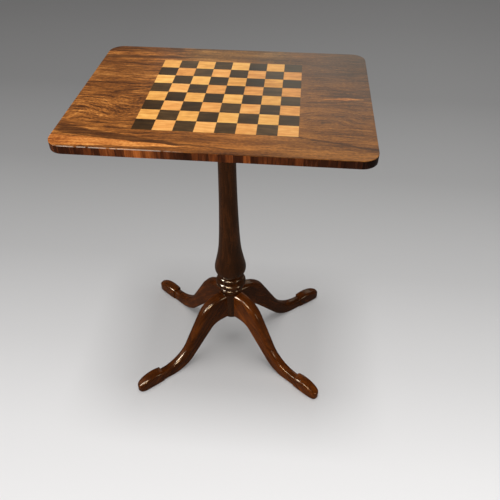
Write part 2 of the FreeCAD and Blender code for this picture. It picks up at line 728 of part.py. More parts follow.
def carve_foot(name):
    """The pad foot: a raised lip, a domed back and a round toe."""
    foot = new_body(name)
    toe = s.LipReach + s.ToePole
    beyond = toe + OVERCUT
    side = new_sketch(foot, f"{name}_side", "XZ_Plane")
    outline = Outline(side, s.LipReach, ZERO)
    outline.line_to(beyond, ZERO).line_to(beyond, s.ToeTop / 2)
    outline.line_to(toe, s.ToeTop).arc_to(s.LipReach, s.LipTop, s.DomeRadius, 1)
    outline.close()
    pad(foot, side, s.BallWidth * 2, midplane=True)

    plan = new_sketch(foot, f"{name}_plan", "XY_Plane")
    rectangle(plan, (ZERO, beyond + OVERCUT), (-s.BallWidth * 2, s.BallWidth * 2))
    lip = s.LipWidth / 2
    poles = [(s.LipReach + s.HeelPole, s.HeelWidth / 2),
             (s.LipReach + s.BallPole, s.BallWidth / 2), (toe, s.ToeWidth / 2)]
    near_side = [(reach, -across) for reach, across in poles]
    outline = Outline(plan, s.LipReach, lip)
    outline.line_to(s.LipReach, -lip).spline_to(near_side + poles[::-1] + [outline.start])
    pocket(foot, plan, midplane=True)
    fillet(foot, f"{name}_upper_round", s.FootRound, is_upper_edge)
    fillet(foot, f"{name}_lower_round", s.LegSoften, is_lower_edge)
    return foot


def side_and_skin(shape, edge):
    """Whether an edge joins an upright side to the sawn outline, and the latter's slope."""
    middle, normals = face_normals(shape, edge)
    sides = [n for n in normals if abs(n.z) < SMALL and n.x > LIP_FACING]
    skins = [n for n in normals if abs(n.y) < SMALL and abs(n.z) > SKIN_SLOPE]
    shoulder = s.HubRadius.number + s.TongueSink.number / 3
    outside = math.hypot(middle.x, middle.y) > shoulder
    return skins[0].z if outside and len(sides) == len(skins) == 1 else 0


def is_upper_edge(shape, edge):
    return side_and_skin(shape, edge) > 0


def is_lower_edge(shape, edge):
    return side_and_skin(shape, edge) < 0


def make_socket_cutter(name, angle):
    """A dovetail prism of the tongue's own size, which opens at the hub's underside."""
    prism = doc.addObject("Part::Wedge", f"{name}_socket")
    wide, root = s.TongueWide / 2, s.TongueRoot / 2
    height = TONGUE_TOP - s.HubBottom
    bind(prism, Xmin=-wide, Xmax=wide, X2min=-root, X2max=root, Zmin=ZERO, Zmax=height,
         Z2min=ZERO, Z2max=height, Ymin=s.TongueReach, Ymax=TONGUE_ROOT_REACH)
    prism.Placement = Placement(V(), Rotation(V(0, 0, 1), 0))
    bind(prism, Placement_Rotation_Angle=angle - 90)
    return place(prism, z=s.HubBottom)


def toward(reach, angle):
    """A point at a reach from the pillar's axis, in a bound direction."""
    radians = math.radians(angle.number)
    x = Size(f"({reach} * cos({angle} * 1 deg))", reach.number * math.cos(radians))
    y = Size(f"({reach} * sin({angle} * 1 deg))", reach.number * math.sin(radians))
    return x, y


def make_brace_screws():
    """One screw in the middle of the hub, and two along each leg."""
    bottom = s.HubBottom - s.BraceThick
    spots = [(ZERO, ZERO)]
    for _, angle in leg_angles():
        spots += [toward(s.BraceInnerScrew, angle), toward(s.BraceOuterScrew, angle)]
    screws = [screw(f"brace_screw_{i}", s.ScrewRadius, s.ScrewHeadRadius, s.ScrewHeadDepth,
                    s.BraceScrewLength, (x, y, bottom)) for i, (x, y) in enumerate(spots)]
    return group("brace_screws", screws)


def make_brace(screws):
    """A flat iron plate with an arm under each leg, which holds the dovetails in."""
    bottom = s.HubBottom - s.BraceThick
    pieces = [cylinder("brace_middle", s.BraceRadius, s.BraceThick, ZERO, ZERO, bottom)]
    half = s.BraceArmWidth / 2
    for name, angle in leg_angles():
        arm = new_body(f"brace_arm_{name}")
        sketch = new_sketch(arm, f"brace_arm_{name}_outline", "XY_Plane", bottom)
        outline = Outline(sketch, ZERO, -half)
        outline.line_to(s.BraceArmReach, -half).arc_to(s.BraceArmReach + half, ZERO, half, 1)
        outline.arc_to(s.BraceArmReach, half, half, 1).line_to(ZERO, half).close()
        pad(arm, sketch, s.BraceThick)
        pieces.append(face_outward(arm, angle))
    plate = doc.addObject("Part::MultiFuse", "brace_blank")
    plate.Shapes = pieces
    return cut("brace_plate", plate, screws)


# The catch -----------------------------------------------------------------------------------


def brass_screw(name, spot, rotation=None):
    return screw(name, s.SmallScrewRadius, s.SmallHeadRadius, s.SmallHeadDepth,
                 s.SmallScrewLength, spot, rotation)


def make_keeper():
    """The brass keeper let into the rear of the block, and the mortise behind it."""
    rear = s.BlockLength / 2
    across = s.KeeperWidth / 2
    doorway = s.BoltWidth / 2 + s.BoltPlay
    rise = (BOLT_Z - s.BoltThick / 2 - s.BoltPlay, BOLT_Z + s.BoltThick / 2 + s.BoltPlay)
    screws = [brass_screw(f"keeper_screw_{side + 1}",
                          (s.KeeperScrewSpacing / 2 * side, rear,
                           UNDERSIDE - s.KeeperScrewDrop), TOWARD_FRONT)
              for side in (-1, 1)]
    keeper_screws = group("keeper_screws", screws)
    plate = box("keeper_blank", (-across, across), (rear - s.KeeperThick, rear),
                (UNDERSIDE - s.KeeperHeight, UNDERSIDE))
    mortise = box("bolt_mortise", (-doorway, doorway),
                  (rear - s.BoltThrow - s.BoltPlay, rear), rise)
    keeper = cut("keeper_plate", plate, mortise, keeper_screws)
    return keeper, keeper_screws, [plate, mortise, keeper_screws]


def make_catch_mount(screws):
    """The brass plate under the top and the case that guides the bolt."""
    across = s.CatchPlateWidth / 2
    plate = box("catch_plate_blank", (-across, across), (CATCH_FRONT, CATCH_REAR),
                (CATCH_PLATE_BOTTOM, UNDERSIDE))
    inner = s.BoltWidth / 2 + s.BoltPlay
    outer = inner + s.CatchWall
    floor = BOLT_Z - s.BoltThick / 2 - s.BoltPlay
    bottom = floor - s.CatchWall
    shell = box("case_blank", (-outer, outer), (CATCH_FRONT, CATCH_REAR),
                (bottom, CATCH_PLATE_BOTTOM))
    room = box("case_room", (-inner, inner), (CATCH_FRONT, CATCH_REAR - s.CatchWall),
               (floor, CATCH_PLATE_BOTTOM))
    stem = s.KnobStemRadius + s.BoltPlay
    slot = box("knob_slot", (-stem, stem), (KNOB_Y - stem, KNOB_Y + s.BoltTravel + stem),
               (bottom, floor))
    hole = cylinder("rod_hole", s.BoltRodRadius + s.PinPlay, s.CatchWall * 3, ZERO,
                    CATCH_REAR - s.CatchWall * 2, BOLT_Z, TOWARD_BACK)
    return [cut("catch_plate", plate, screws), cut("catch_case", shell, room, slot, hole)]


def make_catch_screws():
    reach = s.CatchScrewSpacing / 2
    spots = [(reach * side, y, CATCH_PLATE_BOTTOM) for side in (-1, 1)
             for y in (CATCH_FRONT + s.CatchScrewInset, CATCH_REAR - s.CatchScrewInset)]
    screws = [brass_screw(f"catch_screw_{i}", spot) for i, spot in enumerate(spots)]
    return group("catch_screws", screws)


def make_bolt(knob):
    """The sprung bolt: a flat bar with a bevelled nose, and a tail rod for the spring."""
    bar = new_body("bolt_bar")
    sketch = new_sketch(bar, "bolt_outline", "YZ_Plane")
    top, bottom = BOLT_Z + s.BoltThick / 2, BOLT_Z - s.BoltThick / 2
    outline = Outline(sketch, BOLT_TIP, top)
    outline.line_to(BOLT_TIP, bottom + s.BoltBevel).line_to(BOLT_TIP + s.BoltBevel, bottom)
    outline.line_to(BOLT_SHOULDER, bottom).line_to(BOLT_SHOULDER, top).close()
    pad(bar, sketch, s.BoltWidth, midplane=True)
    rod = cylinder("bolt_rod", s.BoltRodRadius, CATCH_REAR + s.BoltRodTail - BOLT_SHOULDER,
                   ZERO, BOLT_SHOULDER, BOLT_Z, TOWARD_BACK)
    whole = doc.addObject("Part::MultiFuse", "bolt_blank")
    whole.Shapes = [bar, rod]
    return cut("catch_bolt", whole, knob)


def make_knob():
    """The turned brass knob under the case, screwed into the bolt."""
    knob = new_body("catch_knob")
    sketch = new_sketch(knob, "knob_profile", "XZ_Plane")
    bolt_bottom = BOLT_Z - s.BoltThick / 2
    top = bolt_bottom - s.KnobDrop
    half = s.KnobHeight / 2
    outline = Outline(sketch, ZERO, top - s.KnobHeight)
    outline.line_to(s.KnobRadius - half, top - s.KnobHeight)
    outline.arc_to(s.KnobRadius, top - half, half, 1)
    outline.arc_to(s.KnobRadius - half, top, half, 1).line_to(s.KnobStemRadius, top)
    outline.line_to(s.KnobStemRadius, BOLT_Z).line_to(ZERO, BOLT_Z).close()
    turning = knob.newObject("PartDesign::Revolution", "knob_revolution")
    turning.Profile = sketch
    turning.ReferenceAxis = (sketch, ["V_Axis"])
    turning.Angle = 360
    return bind(knob, Placement_Base_y=KNOB_Y)


def make_spring():
    """A coil spring on the tail rod, between the bolt's shoulder and the case's end."""
    start = BOLT_SHOULDER + s.SpringWire
    coil = doc.addObject("Part::Helix", "spring_path")
    bind(coil, Radius=s.SpringRadius, Pitch=s.SpringPitch,
         Height=CATCH_REAR - s.CatchWall - s.SpringWire - start)
    place(coil, ZERO, start, BOLT_Z, TOWARD_BACK)
    wire = doc.addObject("Part::Circle", "spring_wire")
    bind(wire, Radius=s.SpringWire)
    place(wire, s.SpringRadius, start, BOLT_Z)
    spring = doc.addObject("Part::Sweep", "catch_spring")
    spring.Sections = [wire]
    spring.Spine = (coil, [])
    spring.Solid = True
    spring.Frenet = True
    return spring


# The model -------------------------------------------------------------------------------------


def make_nodes():
    """Every sub-part, in the order of the assembly."""
    brace_screws = make_brace_screws()
    cutters = [make_socket_cutter(name, angle) for name, angle in leg_angles()]
    pins = [make_pin("pivot_pin_left", -1), make_pin("pivot_pin_right", 1)]
    keeper, keeper_screws, keeper_room = make_keeper()
    bearer_screws = make_bearer_screws()
    catch_screws = make_catch_screws()
    knob = make_knob()

    nodes = [make_pillar(cutters, brace_screws), make_wedge()]
    nodes += [make_leg(name, angle, brace_screws) for name, angle in leg_angles()]
    nodes += [make_brace(brace_screws), brace_screws]
    nodes += [make_block(pins + keeper_room), keeper, keeper_screws] + pins
    blank, skins = make_top()
    nodes += [cut("top_board", blank, bearer_screws, catch_screws)] + skins
    nodes += [make_bearer("bearer_left", -1, bearer_screws),
              make_bearer("bearer_right", 1, bearer_screws), bearer_screws]
    nodes += make_catch_mount(catch_screws) + [catch_screws]
    nodes += [make_bolt(knob), knob, make_spring()]
    return nodes


def check(nodes):
    """Stop if any object failed, or a sub-part has no valid solid."""
    for obj in doc.Objects:
        if "Invalid" in obj.State or "Error" in obj.State:
            raise RuntimeError(f"{obj.Label} failed: {obj.State}")
    for node in nodes:
        if node.Shape.isNull() or not node.Shape.Solids or not node.Shape.isValid():
            raise RuntimeError(f"{node.Label} has no valid shape")


def write(nodes):
    os.makedirs("parts", exist_ok=True)
    for node in nodes:
        node.Shape.exportStep(f"parts/{node.Label}.step")


doc = FreeCAD.newDocument("chess_table")
s = make_sheet()

ALONG_X = Rotation(V(0, 1, 0), 90)
TOWARD_BACK = Rotation(V(1, 0, 0), -90)
TOWARD_FRONT = Rotation(V(1, 0, 0), 90)

UNDERSIDE = s.TableHeight - s.VeneerThick - s.CoreThick
SHOULDER = UNDERSIDE - s.BlockThick
PIVOT_Y = (s.BlockThick - s.BlockLength) / 2
PIVOT_Z = UNDERSIDE - s.BlockThick / 2
HUB_TOP = s.HubBottom + s.HubHeight
LEG_TOP = HUB_TOP - s.LegDrop
TONGUE_TOP = HUB_TOP - s.TongueDrop
TONGUE_ROOT_REACH = s.HubRadius + s.TongueSink

CATCH_FRONT = s.BlockLength / 2 + s.CatchGap
CATCH_REAR = CATCH_FRONT + s.CatchLength
CATCH_PLATE_BOTTOM = UNDERSIDE - s.CatchPlateThick
BOLT_Z = CATCH_PLATE_BOTTOM - s.BoltPlay - s.BoltThick / 2
BOLT_TIP = s.BlockLength / 2 - s.BoltThrow
BOLT_SHOULDER = BOLT_TIP + s.BoltLength
KNOB_Y = BOLT_SHOULDER - s.KnobStemReach

NODES = make_nodes()
doc.recompute()
check(NODES)
write(NODES)
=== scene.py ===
import json
import math

import bmesh
import bpy
from mathutils import Matrix, Vector


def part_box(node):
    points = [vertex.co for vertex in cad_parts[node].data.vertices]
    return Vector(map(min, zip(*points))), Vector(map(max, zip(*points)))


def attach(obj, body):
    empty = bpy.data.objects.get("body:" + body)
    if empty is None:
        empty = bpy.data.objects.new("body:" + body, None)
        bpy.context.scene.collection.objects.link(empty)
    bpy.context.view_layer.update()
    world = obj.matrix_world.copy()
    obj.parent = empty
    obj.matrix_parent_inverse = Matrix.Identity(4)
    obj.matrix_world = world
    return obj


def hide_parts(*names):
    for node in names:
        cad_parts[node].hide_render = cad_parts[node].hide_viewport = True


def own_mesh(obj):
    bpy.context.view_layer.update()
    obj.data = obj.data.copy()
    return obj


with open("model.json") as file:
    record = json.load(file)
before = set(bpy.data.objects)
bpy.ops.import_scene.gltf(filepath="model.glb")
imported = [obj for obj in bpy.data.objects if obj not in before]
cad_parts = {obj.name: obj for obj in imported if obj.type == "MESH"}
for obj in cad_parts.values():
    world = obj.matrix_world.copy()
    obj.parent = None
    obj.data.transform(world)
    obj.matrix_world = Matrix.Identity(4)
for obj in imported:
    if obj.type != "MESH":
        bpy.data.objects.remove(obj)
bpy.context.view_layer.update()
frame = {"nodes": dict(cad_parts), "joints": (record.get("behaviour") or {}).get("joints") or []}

# A tilt-top chess table in polished rosewood and mahogany. Metres, on the frame's axes:
# +X along the long side of the top, +Y to the back and +Z up from the floor.

NODES = frame["nodes"]
MM = 0.001
# Each leg's direction in degrees from +X, and a brightness for its polish: lit and shaded copies
# of one wood, painted light on the front right leg and painted shade on the others.
LEGS = {"leg_front_left": (222, 0.70), "leg_front_right": (-37, 1.15),
        "leg_back_right": (38, 0.56), "leg_back_left": (143.5, 0.70)}
SQUARE = 35 * MM                       # one square of the inlaid board
BAND_BLOCK = 13.5 * MM                 # about the length of one block of the banding
FRONT_EDGE = -203 * MM                 # of the top

# The radii of a screw's shank and head, the depth of its countersunk head, its length and the
# width of its slot.
BEARER_SCREW = (2.0 * MM, 4.0 * MM, 2.2 * MM, 27 * MM, 0.9 * MM)
BRACE_SCREW = (2.0 * MM, 4.0 * MM, 2.2 * MM, 18 * MM, 0.9 * MM)
BRASS_SCREW = (1.3 * MM, 2.7 * MM, 1.5 * MM, 9 * MM, 0.6 * MM)
BRACE_REACHES = (20.5 * MM, 34 * MM)   # of the brace's two screws along each leg
SCREW_THREAD = 0.7                     # one turn of a screw's thread, in radii of its shank
SCREW_PLAIN = 0.3                      # how much of a screw's shank has no thread
SCREW_SIDES = 24                       # faces round a screw
SPRING_WIRE = 0.45 * MM                # radius of the catch spring's wire
SPRING_PITCH = 2.9 * MM                # one turn of the catch spring
SPRING_STEPS = 28                      # faces along one turn of the catch spring
SPRING_SIDES = 12                      # faces round its wire

# Streaks in the rosewood, in mm: where each starts and ends, its half width at both ends, how
# soft its sides are, and how strong it is.
DARK_STREAKS = (((-262, -146), (-58, -180), 11, 3, 0.3, 1.0),
                ((-250, -161), (-48, -184), 1.4, 2.2, 0.4, 1.15),
                ((-275, 150), (-110, 154), 9, 4, 0.5, 0.8),
                ((-205, -8), (-142, 12), 3, 2, 0.5, 1.0),
                ((120, -137), (275, -172), 1.2, 3.5, 0.5, 1.0),
                ((175, 7), (275, 12), 1.5, 3, 0.5, 1.0),
                ((150, -20), (205, -17), 2, 3, 0.5, 0.7),
                ((-50, -181), (40, -188), 2.5, 1.5, 0.5, 0.8))
DARK_BACK_EDGE = (((-300, 190), (-110, 190), 16, 11, 0.8, 0.60),)
SAPWOOD = (((-285, -182), (-44, -187), 16, 0.8, 0.10, 1.0),
           ((178, -5), (224, -1), 0.6, 4.6, 0.3, 0.6),
           ((222, -1), (254, 1), 4.6, 0.8, 0.3, 0.6))

CAMERA_PLACE = (0.1327, -0.9191, 1.1655)
CAMERA_PITCH = math.radians(42.4)      # how far it looks down
CAMERA_YAW = math.radians(-5.32)       # how far it turns from +Y towards +X
CAMERA_LENS = 38.8                     # focal length in mm
CAMERA_SENSOR = 36.0                   # width of its sensor in mm

FLOOR_WHOLE, FLOOR_GONE = 3.7, 9.0     # how far from the pillar the floor starts and ends fading
FLOOR_TINT = (0.985, 0.994, 1.012)


# Shader maths --------------------------------------------------------------------------------


class Value:
    """A socket in a Python expression; each operation adds the Math node that it needs."""

    def __init__(self, maker, socket):
        self.maker = maker
        self.socket = socket

    def maths(self, operation, *others, clamp=False):
        inputs = dict(enumerate((self,) + others))
        return self.maker.node("ShaderNodeMath", {"operation": operation, "use_clamp": clamp},
                               inputs)

    def __add__(self, other):
        return self.maths("ADD", other)

    __radd__ = __add__

    def __mul__(self, other):
        return self.maths("MULTIPLY", other)

    __rmul__ = __mul__

    def __sub__(self, other):
        return self.maths("SUBTRACT", other)

    def __rsub__(self, other):
        return self * -1.0 + other

    def __truediv__(self, other):
        return self.maths("DIVIDE", other)

    def __pow__(self, other):
        return self.maths("POWER", other)

    def __abs__(self):
        return self.maths("ABSOLUTE")

    def floor(self):
        return self.maths("FLOOR")

    def clamp(self):
        return self.maths("ADD", 0.0, clamp=True)

    def lower(self, other):
        return self.maths("MINIMUM", other)

    def higher(self, other):
        return self.maths("MAXIMUM", other)

    def step(self, low, high):
        """A smooth step from 0 at low to 1 at high; high may be the smaller one."""
        flip = high < low
        first, last = (high, low) if flip else (low, high)
        ends = (1.0, 0.0) if flip else (0.0, 1.0)
        return self.maker.node("ShaderNodeMapRange", {"interpolation_type": "SMOOTHSTEP"},
                               {"Value": self, "From Min": first, "From Max": last,
                                "To Min": ends[0], "To Max": ends[1]})

    def ramp(self, *stops):
        """A colour ramp through (position, colour) stops."""
        return self.maker.node("ShaderNodeValToRGB", {"stops": stops}, {"Fac": self})


class Finish:
    """One material under construction."""

    def __init__(self, name):
        self.material = bpy.data.materials.new(name)
        self.material.use_nodes = True
        self.tree = self.material.node_tree
        self.tree.nodes.clear()
        spot = self.node("ShaderNodeTexCoord", out="Object")
        axes = self.tree.nodes.new("ShaderNodeSeparateXYZ")
        self.tree.links.new(spot.socket, axes.inputs[0])
        self.x, self.y, self.z = (Value(self, axes.outputs[i]) for i in range(3))

    def node(self, kind, settings=None, inputs=None, out=0):
        """Add a node, with its settings first, then the values or links of its sockets."""
        node = self.tree.nodes.new(kind)
        for key, value in (settings or {}).items():
            if key == "stops":
                self.set_stops(node.color_ramp, value)
            else:
                setattr(node, key, value)
        for key, value in (inputs or {}).items():
            if isinstance(value, Value):
                self.tree.links.new(value.socket, node.inputs[key])
            else:
                node.inputs[key].default_value = value
        return Value(self, node.outputs[out])

    def set_stops(self, ramp, stops):
        for extra in stops[2:]:
            ramp.elements.new(extra[0])
        for element, (position, colour) in zip(ramp.elements, stops):
            element.position = position
            element.color = (*colour, 1.0)

    def vector(self, x, y, z):
        return self.node("ShaderNodeCombineXYZ", None, {0: x, 1: y, 2: z})

    def noise(self, x, y, z, detail=2.0, rough=0.5):
        """Soft noise from 0 to 1 at a place given in the pattern's own units."""
        return self.node("ShaderNodeTexNoise", {"noise_dimensions": "3D"},
                         {"Vector": self.vector(x, y, z), "Scale": 1.0, "Detail": detail,
                          "Roughness": rough})

    def random(self, number):
        """A steady random number from 0 to 1 for each whole number."""
        return self.node("ShaderNodeTexWhiteNoise", {"noise_dimensions": "1D"}, {"W": number})

    def mix(self, share, first, second, blend="MIX"):
        """Mix two colours. The node's inputs 0, 6 and 7 are the share and the colours."""
        colours = {0: share, 6: first, 7: second}
        for key in (6, 7):
            if isinstance(colours[key], tuple):
                colours[key] = (*colours[key], 1.0)
        return self.node("ShaderNodeMix", {"data_type": "RGBA", "blend_type": blend}, colours,
                         out=2)

    def tint(self, share, colour, tint):
        """Multiply a colour by a tint, over a share of the surface."""
        return self.mix(share, colour, tint, blend="MULTIPLY")

    def bump(self, height, distance):
        return self.node("ShaderNodeBump", None, {"Height": height, "Distance": distance})

    def close(self, colour, roughness, normal=None, metallic=0.0, coat=0.0, coat_rough=0.1,
              specular=0.5, tint=(1.0, 1.0, 1.0), alpha=1.0):
        """Join everything to the surface, and hand the material back."""
        inputs = {"Base Color": colour, "Roughness": roughness, "Metallic": metallic,
                  "Coat Weight": coat, "Coat Roughness": coat_rough,
                  "Specular IOR Level": specular, "Specular Tint": (*tint, 1.0),
                  "Alpha": alpha}
        if normal is not None:
            inputs["Normal"] = normal
        surface = self.node("ShaderNodeBsdfPrincipled", None, inputs)
        output = self.tree.nodes.new("ShaderNodeOutputMaterial")
        self.tree.links.new(surface.socket, output.inputs["Surface"])
        return self.material


# Finishes ------------------------------------------------------------------------------------


def tapered_band(x, y, start, end, width_start, width_end, soft):
    """A mask, 1 inside a band that runs from start to end and changes its half width, in mm."""
    start, end = Vector(start) * MM, Vector(end) * MM
    run = end - start
    way = run.normalized()
    along = ((x - start.x) * way.x + (y - start.y) * way.y) / run.length
    off = abs((y - start.y) * way.x - (x - start.x) * way.y)
    half = along * ((width_end - width_start) * MM) + width_start * MM
    inside = along.step(-0.04, 0.03) * along.step(1.04, 0.97)
    return (off / half.higher(0.3 * MM)).step(1.0 + soft, 1.0 - soft) * inside


def streak_mask(x, y, streaks):
    """The strongest of several streaks at each spot."""
    masks = [tapered_band(x, y, *streak[:-1]) * streak[-1] for streak in streaks]
    strongest = masks[0]
    for mask in masks[1:]:
        strongest = strongest.higher(mask)
    return strongest


def swell(x, y, middle, half_x, half_y):
    """A mask, 1 in the middle of an oval and 0 at its edge. Its place and size are in mm."""
    dx = (x - middle[0] * MM) / (half_x * MM)
    dy = (y - middle[1] * MM) / (half_y * MM)
    return (dx * dx + dy * dy).step(1.0, 0.0)


class RosewoodGrain:
    """The grain of the rosewood sheet, from its long waves to its pores."""

    def __init__(self, f):
        x, y = f.x, f.y
        drift = f.noise(x * 5.0, y * 7.0, 0.0, detail=3.0) - 0.5
        waver = f.noise(x * 26.0, y * 42.0, 4.0, detail=3.0) - 0.5
        knot = swell(x, y, (-168, 2), 62, 30) * 0.008
        eye = swell(x, y, (190, -68), 60, 34) * 0.012
        across = y + drift * 0.024 + waver * 0.0035 + knot - eye
        self.lean = swell(x, y, (-200, -66), 95, 62)
        tilted = across + self.lean * (x + 0.2) * 0.42

        self.broad = f.noise(x * 2.6, across * 26.0, 1.0, detail=3.0, rough=0.55)
        self.streaks = f.noise(x * 13.0, tilted * 150.0, 2.0, detail=5.0, rough=0.62)
        self.lines = f.noise(x * 20.0, across * 320.0, 3.0, detail=3.0, rough=0.6)
        self.flecks = f.noise(x * 170.0, tilted * 420.0, 5.0, detail=3.0) - 0.5
        self.mottle = f.noise(x * 42.0, tilted * 190.0, 9.0, detail=3.0, rough=0.6) - 0.5
        self.pores = f.noise(x * 130.0, across * 1900.0, 7.0, detail=1.0).step(0.66, 0.74)
        self.warped = y + waver * 0.008 + (self.streaks - 0.5) * 0.012


def heartwood(f, grain):
    """Brown heartwood, lively on the left and quieter and greyer on the right, the grey partly
    painted sheen. Painted shade darkens it towards the right, and a painted bluish-grey sheen
    lies along the rear edge.
    """
    x, y = f.x, f.y
    left = x.step(0.02, -0.16)
    calm_and_sheen = x.step(0.02, 0.16)
    figure = (grain.broad - 0.5) * 0.54 + (grain.streaks - 0.5) * (left * 0.48 + 0.42)
    tone = figure * (1 - calm_and_sheen * 0.32) + grain.lines * 0.44
    tone = tone + grain.mottle * (left * 0.30 + 0.20)
    tone = tone + grain.flecks * (grain.lean * 0.5 + 0.34) + 0.283
    # Painted shade: darker towards the right, and more at the far right corner, where the light
    # falls off.
    tone = tone - x.step(0.02, 0.24) * 0.07
    tone = tone - swell(x, y, (330, 230), 360, 330) * 0.11
    tone = tone + swell(x, y, (222, -192), 120, 30) * 0.07
    tone = tone - swell(x, y, (225, -104), 90, 60) * 0.04
    heart = tone.ramp((0.22, (0.035, 0.010, 0.003)), (0.38, (0.105, 0.032, 0.008)),
                      (0.50, (0.225, 0.072, 0.014)), (0.62, (0.400, 0.137, 0.026)),
                      (0.82, (0.700, 0.290, 0.070)))
    heart = f.tint(1.0, heart, (0.95, 1.0, 1.04))
    # A cool grey tint on the right: partly the wood's own colour, partly painted sheen.
    heart = f.tint(calm_and_sheen * 0.75, heart, (0.92, 1.04, 1.05))
    # Painted sheen: a bluish-grey tint along the rear edge, in place of the glare of the lights
    # behind.
    back = y.step(0.125, 0.155) * x.step(-0.16, -0.06) * x.step(0.15, 0.08)
    return f.tint(back, heart, (0.80, 1.02, 1.30))


def sapwood(f, grain):
    """Pale sapwood, duller towards the corner."""
    tone = grain.streaks * 0.6 + grain.lines * 0.35 + grain.flecks * 0.5 + 0.03
    tone = tone - f.x.step(-0.18, -0.25) * 0.10
    return tone.ramp((0.30, (0.230, 0.062, 0.012)), (0.48, (0.520, 0.175, 0.036)),
                     (0.66, (0.860, 0.380, 0.100)))


def painted_arris_highlight(f):
    """A painted highlight: a pale broken line on the left half of the front edge, in place of the
    gloss on its arris.
    """
    highlight_line = f.y.step(FRONT_EDGE + 1.6 * MM, FRONT_EDGE + 0.8 * MM)
    highlight_line = highlight_line * f.x.step(-0.03, -0.10) * f.x.step(-0.255, -0.235)
    return highlight_line * f.noise(f.x * 90.0, 0.0, 11.0, detail=2.0).step(0.34, 0.50)


def rosewood_sheet():
    """Figured rosewood with dark streaks, a pale sapwood wedge and a mottled part."""
    f = Finish("rosewood_sheet")
    grain = RosewoodGrain(f)
    dark = streak_mask(f.x, grain.warped, DARK_STREAKS) * 0.72
    dark = dark + swell(f.x, f.y, (-235, 95), 130, 80) * 0.28
    dark = dark + streak_mask(f.x, f.y, DARK_BACK_EDGE)
    wood = f.mix(dark.clamp(), heartwood(f, grain), (0.040, 0.013, 0.005))
    pale = streak_mask(f.x, grain.warped, SAPWOOD)
    wood = f.mix(pale * 0.92, wood, sapwood(f, grain))
    wood = f.mix(grain.pores * 0.35, wood, (0.030, 0.010, 0.004))
    # Painted highlight along the left half of the front arris.
    wood = f.mix(painted_arris_highlight(f) * 0.34, wood, (0.90, 0.78, 0.66))
    relief = f.bump(grain.lines * 0.4 - grain.pores, 0.06 * MM)
    handled = f.noise(f.x * 9.0, f.y * 9.0, 8.0, detail=3.0)
    return f.close(wood, handled * 0.14 + 0.26, relief, coat=0.10, coat_rough=0.16,
                   specular=0.28)


def inlay(name, deep, middle, pale, other_row, unevenness):
    """Squares of one wood, each with a grain of its own; every second row has a tint."""
    f = Finish(name)
    column = (f.x / SQUARE).floor()
    row = (f.y / SQUARE).floor()
    luck = f.random(column + row * 9.0 + 40.0)
    other = f.random(column + row * 9.0 + 111.0)
    across = f.y + (luck * 0.5 - 0.25) * f.x
    streaks = f.noise(f.x * 14.0 + luck * 37.0, across * 150.0, other * 29.0, detail=3.0)
    lines = f.noise(f.x * 30.0, across * 700.0 + luck * 90.0, 3.0, detail=2.0)
    cloud = f.noise(f.x * 60.0 + other * 50.0, f.y * 90.0, luck * 13.0, detail=3.0)
    tone = streaks * 0.5 + lines * 0.25 + cloud * 0.35 + (other - 0.5) * unevenness - 0.03
    wood = tone.ramp((0.30, deep), (0.52, middle), (0.74, pale))
    half_row = row / 2.0
    second = (half_row - half_row.floor()).step(0.4, 0.1)
    wood = f.tint(second * 0.68, wood, other_row)

    across_square = f.x / SQUARE - column - 0.5
    along_square = f.y / SQUARE - row - 0.5
    edge = abs(across_square).higher(abs(along_square)).step(0.480, 0.499)
    wood = f.mix(edge * 0.45, wood, (0.060, 0.024, 0.009))
    # Painted shade: the squares darken towards the right, where the light falls off.
    wood = f.mix(f.x.step(-0.10, 0.16) * 0.16, wood, (0.0, 0.0, 0.0))
    relief = f.bump(lines * 0.3 - edge, 0.08 * MM)
    return f.close(wood, cloud * 0.12 + 0.27, relief, coat=0.10, coat_rough=0.16, specular=0.28)


def cross_banding():
    """Short upright blocks of rosewood round the edge, each with its own tone."""
    f = Finish("cross_banding")
    # Changes along each of the four sides, and runs on round the corners.
    run = f.x - f.y
    wobble = f.noise(run * 30.0, 0.0, 0.0) - 0.5
    place = run / BAND_BLOCK + wobble * 1.1
    block = place.floor()
    luck = f.random(block)
    seam = abs(place - block - 0.5).step(0.46, 0.5)
    grain = f.noise(run * 900.0, f.z * 40.0, luck * 31.0, detail=3.0)
    figure = f.noise(run * 160.0, f.z * 25.0, luck * 17.0, detail=3.0)
    left_end = run.step(0.13, 0.105)
    warm = run.step(0.045, 0.075) * left_end * 0.14 + run.step(-0.06, -0.02) * left_end * 0.06
    warm = warm + run.step(0.22, 0.26) * run.step(0.345, 0.31) * 0.10
    dull = run.step(0.385, 0.43) * 0.15
    tone = luck * 0.26 + grain * 0.24 + figure * 0.46 + warm - dull + 0.020
    wood = tone.ramp((0.25, (0.010, 0.0028, 0.001)), (0.45, (0.040, 0.0095, 0.0022)),
                     (0.65, (0.145, 0.034, 0.006)), (0.88, (0.440, 0.118, 0.020)))
    wood = f.mix(seam * 0.6, wood, (0.010, 0.003, 0.002))
    relief = f.bump(grain * 0.3 - seam, 0.12 * MM)
    return f.close(wood, figure * 0.12 + 0.20, relief, coat=0.05, coat_rough=0.10, specular=0.20)


